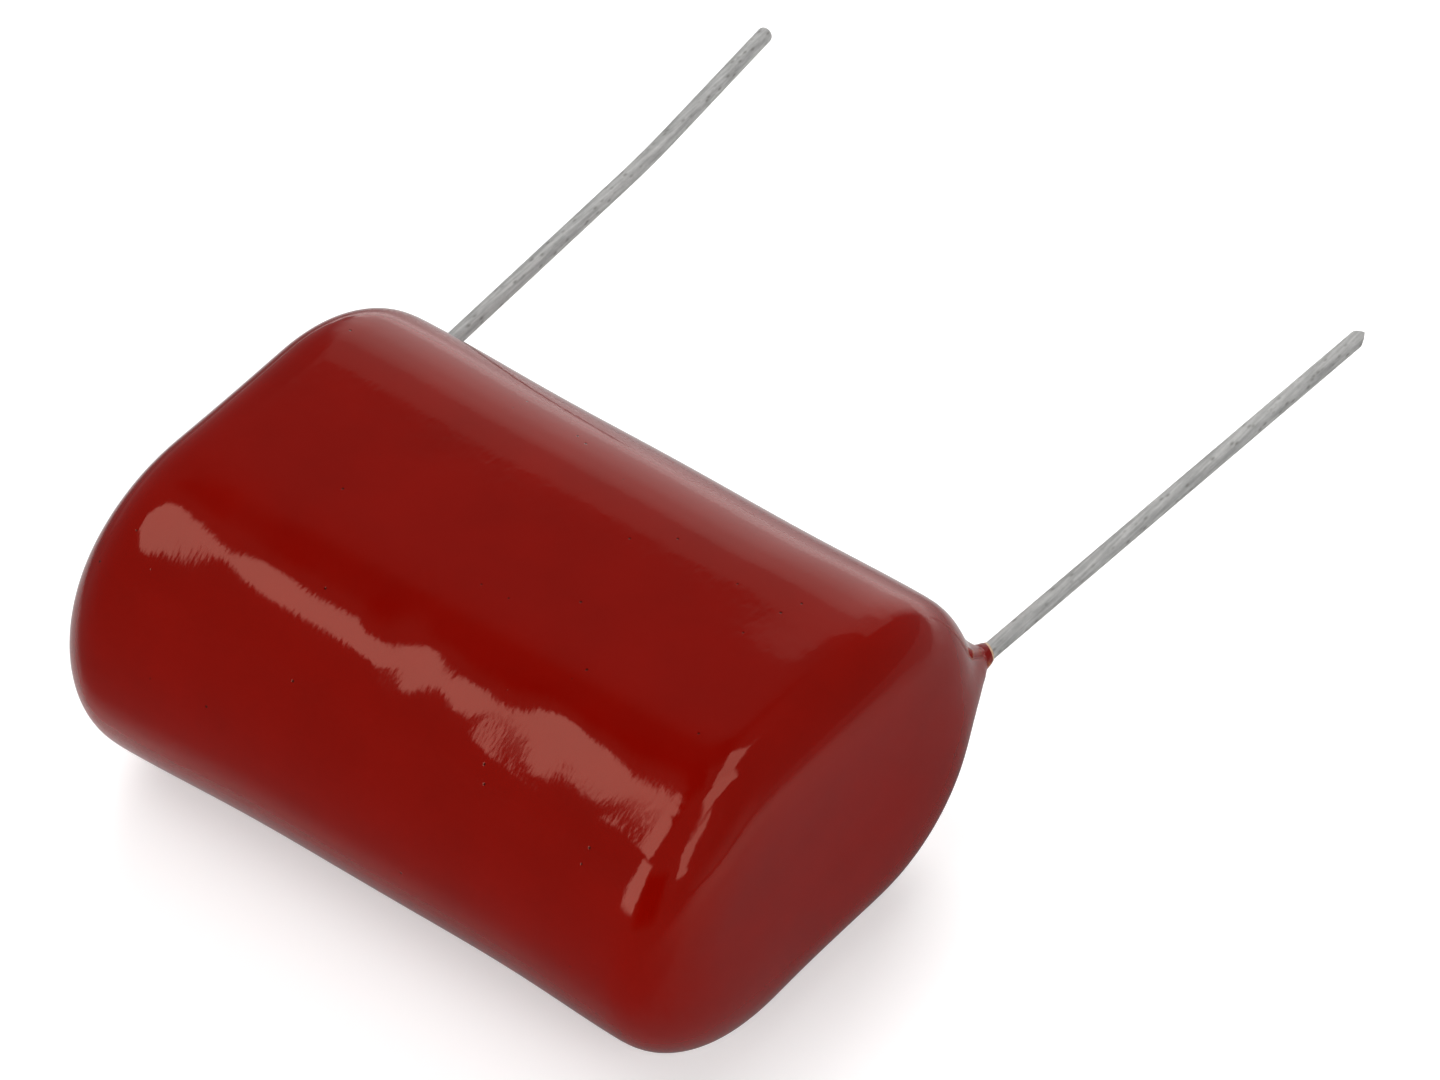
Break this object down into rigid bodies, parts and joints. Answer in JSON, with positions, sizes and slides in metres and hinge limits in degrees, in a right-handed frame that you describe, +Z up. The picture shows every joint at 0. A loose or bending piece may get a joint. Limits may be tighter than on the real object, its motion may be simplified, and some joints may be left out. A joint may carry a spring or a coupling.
{
  "type": "dipped film capacitor",
  "caption": "Flattened, epoxy-dipped film capacitor lying on its broad side, with a bare wire lead at either end of a long edge.",
  "frame": {"origin": "centre of the flat on the underside that the body rests on", "axes": "+X along the axis of the film roll, from the kinked lead's end to the straight lead's end; +Y from the back edge toward the tips of the leads; +Z up, through the body's thickness"},
  "size_m": [0.0357, 0.0531, 0.0169],
  "materials": {
    "epoxy": "glossy dipped epoxy, red-brown, with a fine orange peel",
    "film": "tightly wound metallised plastic film",
    "sprayed_zinc": "rough grey sprayed zinc",
    "tinned_wire": "matt tinned wire with light scuffs"
  },
  "bodies": {
    "root": {"epoxy_coating": "epoxy", "film_winding": "film", "end_contact_a": "sprayed_zinc", "end_contact_b": "sprayed_zinc", "lead_a": "tinned_wire", "lead_b": "tinned_wire"}
  },
  "joints": []
}
